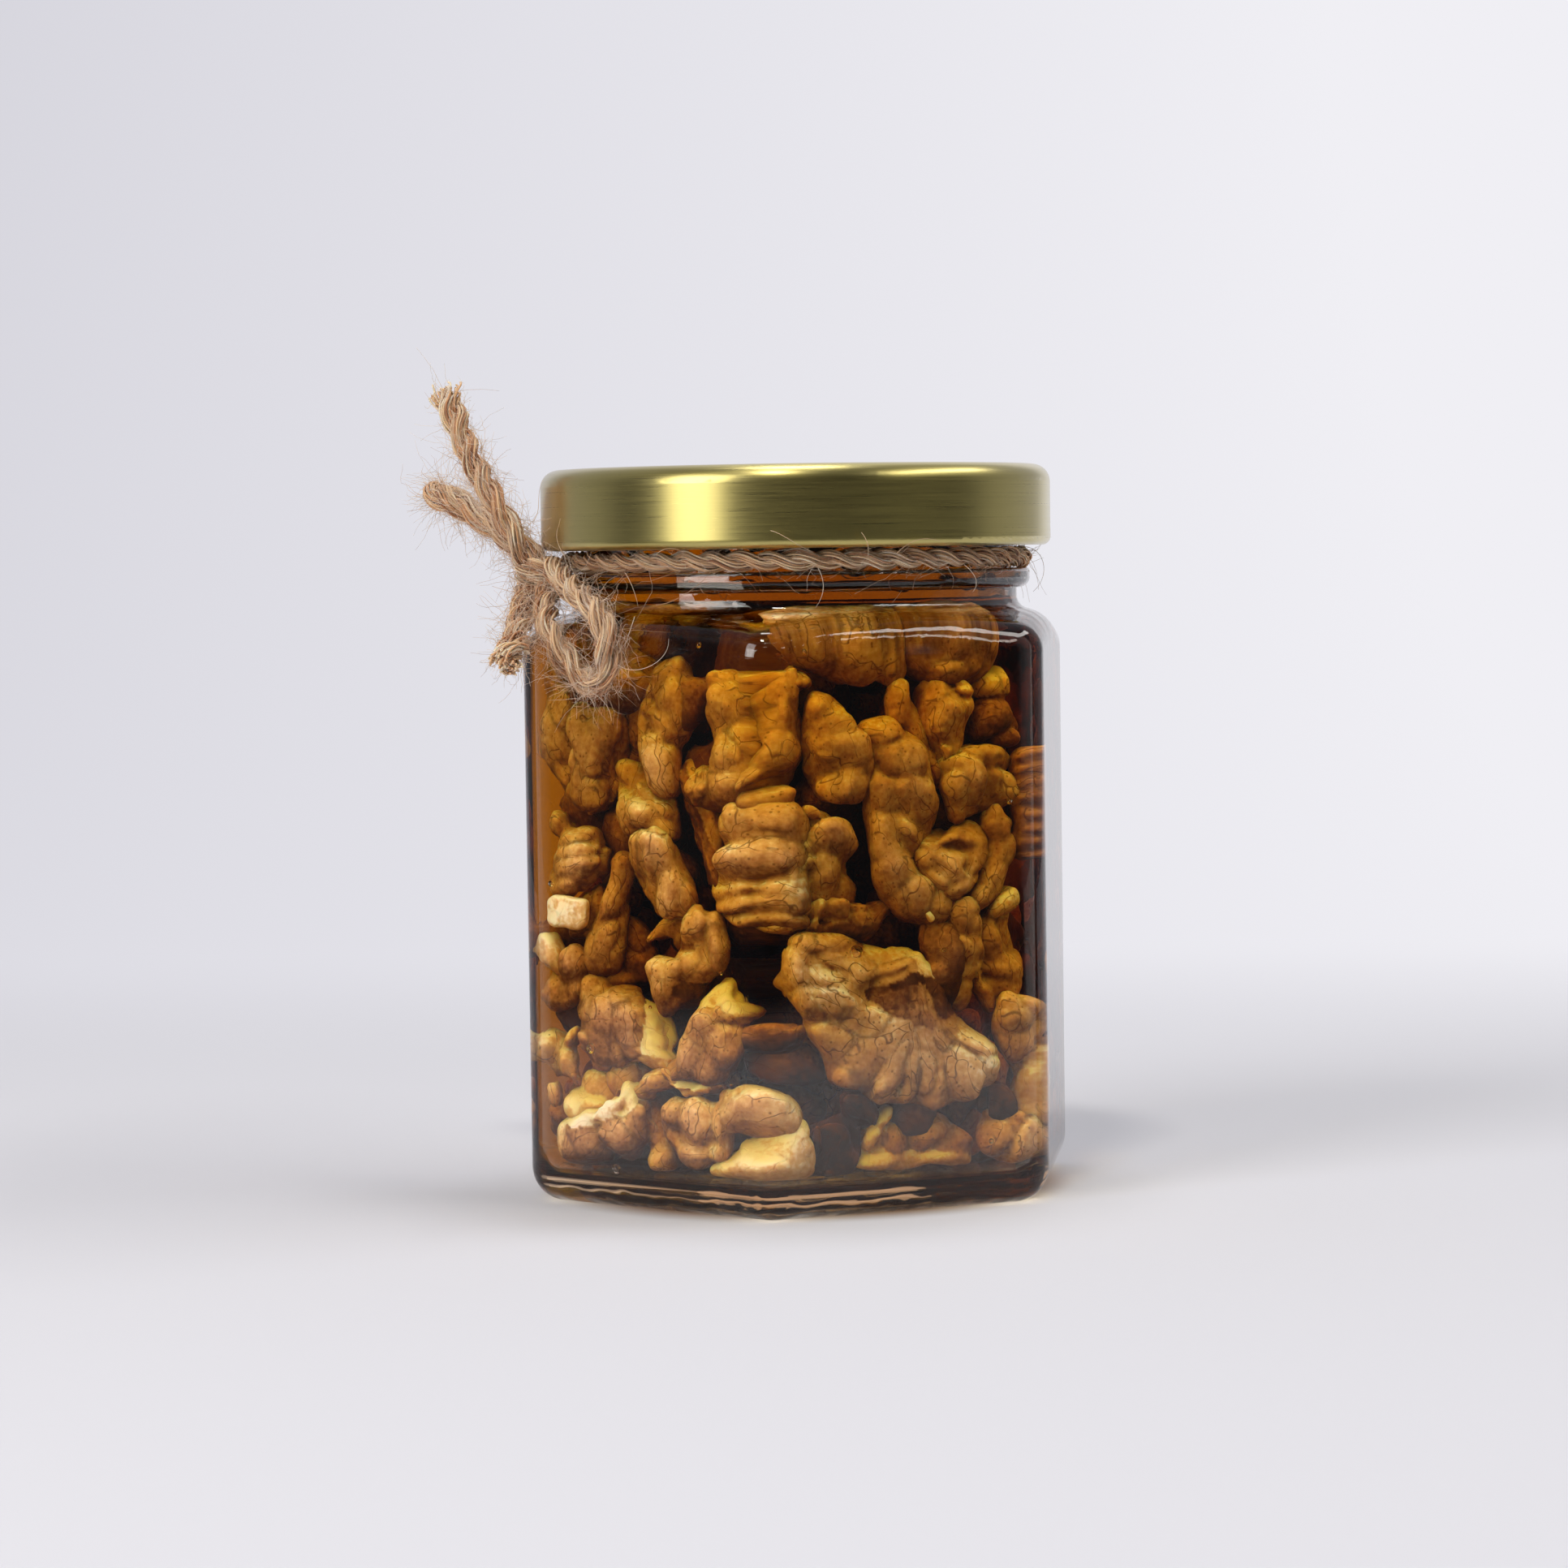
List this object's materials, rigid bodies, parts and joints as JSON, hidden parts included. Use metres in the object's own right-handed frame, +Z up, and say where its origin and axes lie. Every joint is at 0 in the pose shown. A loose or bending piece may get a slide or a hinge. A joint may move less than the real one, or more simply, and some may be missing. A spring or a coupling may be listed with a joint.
{
  "type": "hexagonal jar of walnuts in honey",
  "caption": "Hexagonal clear glass jar of walnut kernels in honey, shut with a gold twist-off lid and tied round the neck with a jute bow.",
  "frame": {"origin": "centre of the foot the jar stands on", "axes": "+Z up along the jar's axis to the lid; -Y towards the upright edge between the two faces seen from the front; +X square to a face, away from the bow"},
  "size_m": [0.0832, 0.0754, 0.1057],
  "materials": {
    "glass": "clear moulded glass, polished",
    "honey": "clear amber honey packed with walnut kernels",
    "lid_lacquer": "tinplate under transparent gold lacquer, glossy",
    "sealing_compound": "smooth off-white sealing compound",
    "jute": "two-ply jute twine with stray fibres"
  },
  "bodies": {
    "root": {"glass_jar": "glass", "honey": "honey", "lid": "lid_lacquer", "lid_liner": "sealing_compound", "twine_wrap": "jute", "twine_knot": "jute", "twine_loop_front": "jute", "twine_loop_rear": "jute", "twine_tail_rear": "jute", "twine_tail_front": "jute"}
  },
  "joints": []
}
